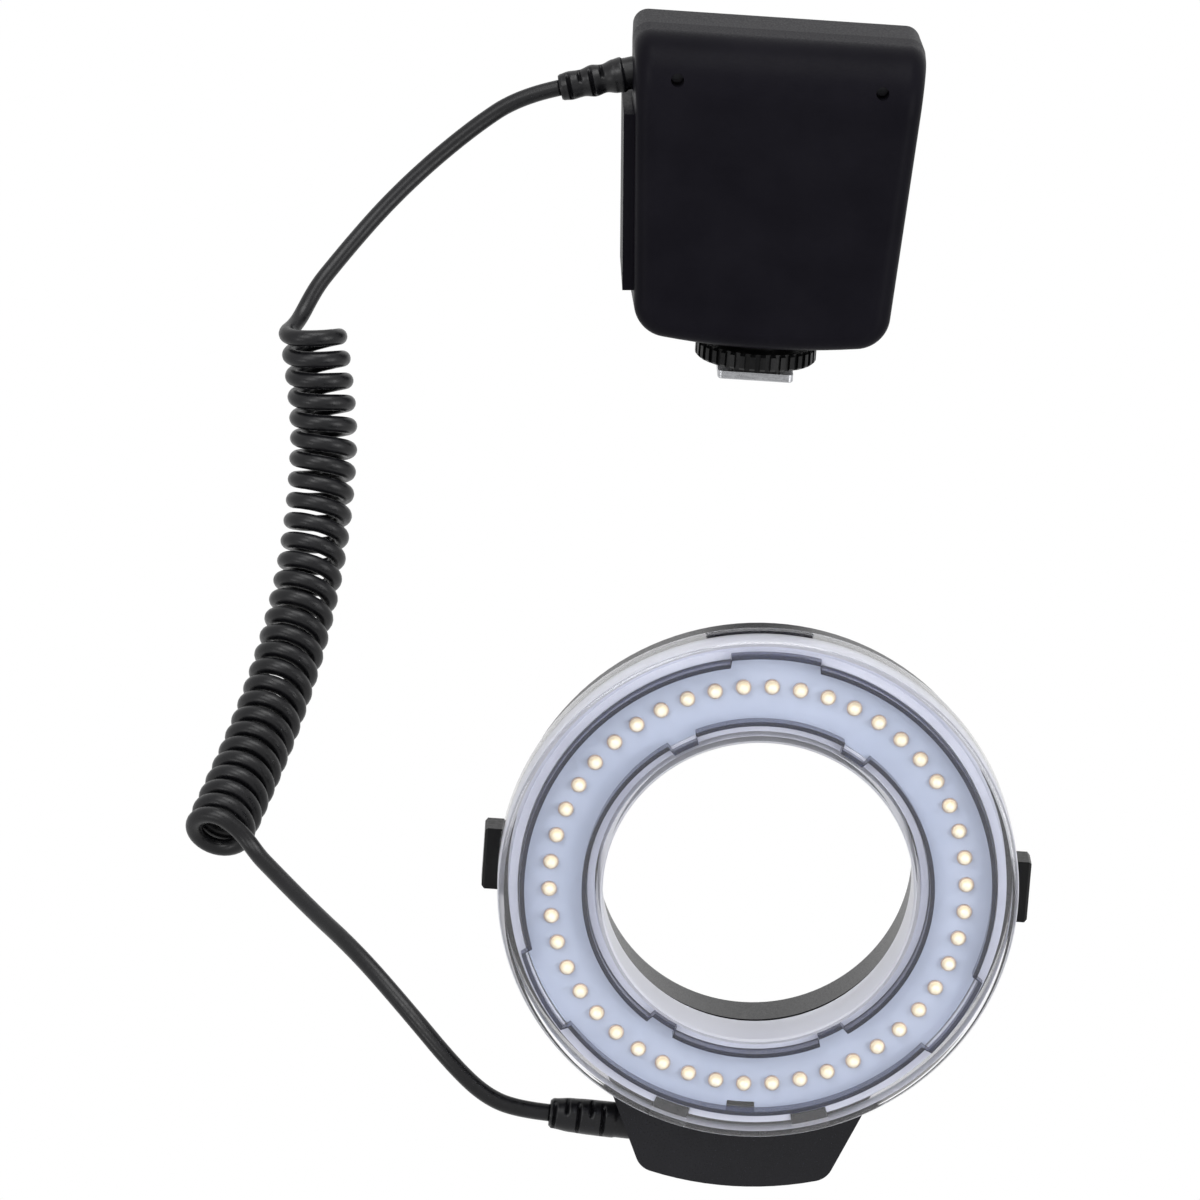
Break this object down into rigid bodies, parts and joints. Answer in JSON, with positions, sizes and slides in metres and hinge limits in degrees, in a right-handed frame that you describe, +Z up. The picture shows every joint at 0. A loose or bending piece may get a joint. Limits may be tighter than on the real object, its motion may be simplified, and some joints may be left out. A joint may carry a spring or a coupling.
{
  "type": "macro led ring light",
  "caption": "Macro ring light: an annular LED head for the lens front, joined by a curly cord to a battery controller on a hot-shoe foot.",
  "frame": {"origin": "centre of the underside of the hot-shoe foot", "axes": "+Z up out of the shoe, -Y the way the lamps shine, +X to the right seen from the lit side"},
  "size_m": [0.1939, 0.223, 0.231],
  "materials": {
    "black_abs": "fine spark-eroded texture, moulded ABS",
    "black_nylon": "moulded nylon, satin",
    "grey_abs": "moulded ABS, satin",
    "button_grey": "moulded ABS, satin",
    "black_steel": "black oxide",
    "nickel": "nickel plated spring steel",
    "spring_steel": "drawn spring wire",
    "foot_metal": "satin plated",
    "brass_contact": "turned, gold flashed",
    "cell_jacket": null,
    "green_board": "solder resist on glass fibre laminate",
    "lcd_grey": "liquid crystal glass with a grey polariser",
    "clear_window": "clear acrylic, polished",
    "black_pvc": "soft PVC, satin",
    "clear_pc": "clear polycarbonate, polished",
    "led_epoxy": "clear epoxy dome over warm phosphor",
    "board_white": "pale solder resist on laminate",
    "tray_white": "white moulded ABS",
    "black_anodised": "turned and black anodised"
  },
  "bodies": {
    "controller": {"front_shell": "black_abs", "rear_shell": "black_abs", "case_screws": "black_steel", "battery_cage": "grey_abs", "cell_contacts": "nickel", "aa_cells": "cell_jacket", "control_board": "green_board", "lcd_module": "lcd_grey", "lcd_window": "clear_window", "foot_stem": "black_nylon", "shoe_plate": "foot_metal", "foot_screws": "black_steel", "contact_spring": "spring_steel", "cord_boot_upper": "black_pvc", "cord_upper": "black_pvc", "cord_coil": "black_pvc", "cord_lower": "black_pvc", "cord_boot_lower": "black_pvc", "clear_cover": "clear_pc", "leds": "led_epoxy", "led_board": "board_white", "led_tray": "tray_white", "ring_case": "black_abs", "rear_cover": "black_abs", "cover_screws": "black_steel", "release_spring_left": "spring_steel", "release_spring_right": "spring_steel", "driver_board": "green_board"},
    "battery_door": {"battery_door": "black_abs", "door_contacts": "nickel"},
    "clamp_plate": {"clamp_plate": "foot_metal"},
    "locking_ring": {"locking_ring": "black_nylon"},
    "centre_contact": {"centre_contact": "brass_contact"},
    "power_switch": {"power_switch": "black_abs"},
    "minus_button": {"minus_button": "button_grey"},
    "mode_button": {"mode_button": "button_grey"},
    "plus_button": {"plus_button": "button_grey"},
    "test_button": {"test_button": "button_grey"},
    "release_left": {"release_left": "black_nylon"},
    "release_right": {"release_right": "black_nylon"},
    "lens_adapter": {"lens_adapter": "black_anodised"}
  },
  "joints": [
    {"name": "door_slide", "type": "slide", "parent": "controller", "child": "battery_door", "axis": [0, 1, 0], "range_m": [0, 0.036]},
    {"name": "clamp_slide", "type": "slide", "parent": "controller", "child": "clamp_plate", "axis": [0, 0, 1], "range_m": [0, 0.00125]},
    {"name": "wheel_turn", "type": "hinge", "parent": "clamp_plate", "child": "locking_ring", "pos_m": [0, 0, 0.006], "axis": [0, 0, 1], "range_deg": [0, 360]},
    {"name": "contact_press", "type": "slide", "parent": "controller", "child": "centre_contact", "axis": [0, 0, 1], "range_m": [0, 0.0007], "stiffness_N_per_m": 300, "springref_m": -0.001, "deforming": ["contact_spring"]},
    {"name": "power_slide", "type": "slide", "parent": "controller", "child": "power_switch", "axis": [1, 0, 0], "range_m": [0, 0.003]},
    {"name": "minus_press", "type": "slide", "parent": "controller", "child": "minus_button", "axis": [0, -1, 0], "range_m": [0, 0.0006], "stiffness_N_per_m": 600, "springref_m": -0.0005},
    {"name": "mode_press", "type": "slide", "parent": "controller", "child": "mode_button", "axis": [0, -1, 0], "range_m": [0, 0.0006], "stiffness_N_per_m": 600, "springref_m": -0.0005},
    {"name": "plus_press", "type": "slide", "parent": "controller", "child": "plus_button", "axis": [0, -1, 0], "range_m": [0, 0.0006], "stiffness_N_per_m": 600, "springref_m": -0.0005},
    {"name": "test_press", "type": "slide", "parent": "controller", "child": "test_button", "axis": [0, -1, 0], "range_m": [0, 0.0006], "stiffness_N_per_m": 600, "springref_m": -0.0005},
    {"name": "release_left_press", "type": "slide", "parent": "controller", "child": "release_left", "axis": [1, 0, 0], "range_m": [0, 0.0015], "stiffness_N_per_m": 800, "springref_m": -0.001, "deforming": ["release_spring_left"]},
    {"name": "release_right_press", "type": "slide", "parent": "controller", "child": "release_right", "axis": [-1, 0, 0], "range_m": [0, 0.0015], "stiffness_N_per_m": 800, "springref_m": -0.001, "deforming": ["release_spring_right"]},
    {"name": "adapter_turn", "type": "hinge", "parent": "controller", "child": "lens_adapter", "pos_m": [0, -0.181, -0.07], "axis": [0, 1, 0], "continuous": true}
  ],
  "couplings": [
    {"joint": "wheel_turn", "follows": "clamp_slide", "rad_per_m": 5026.5}
  ]
}
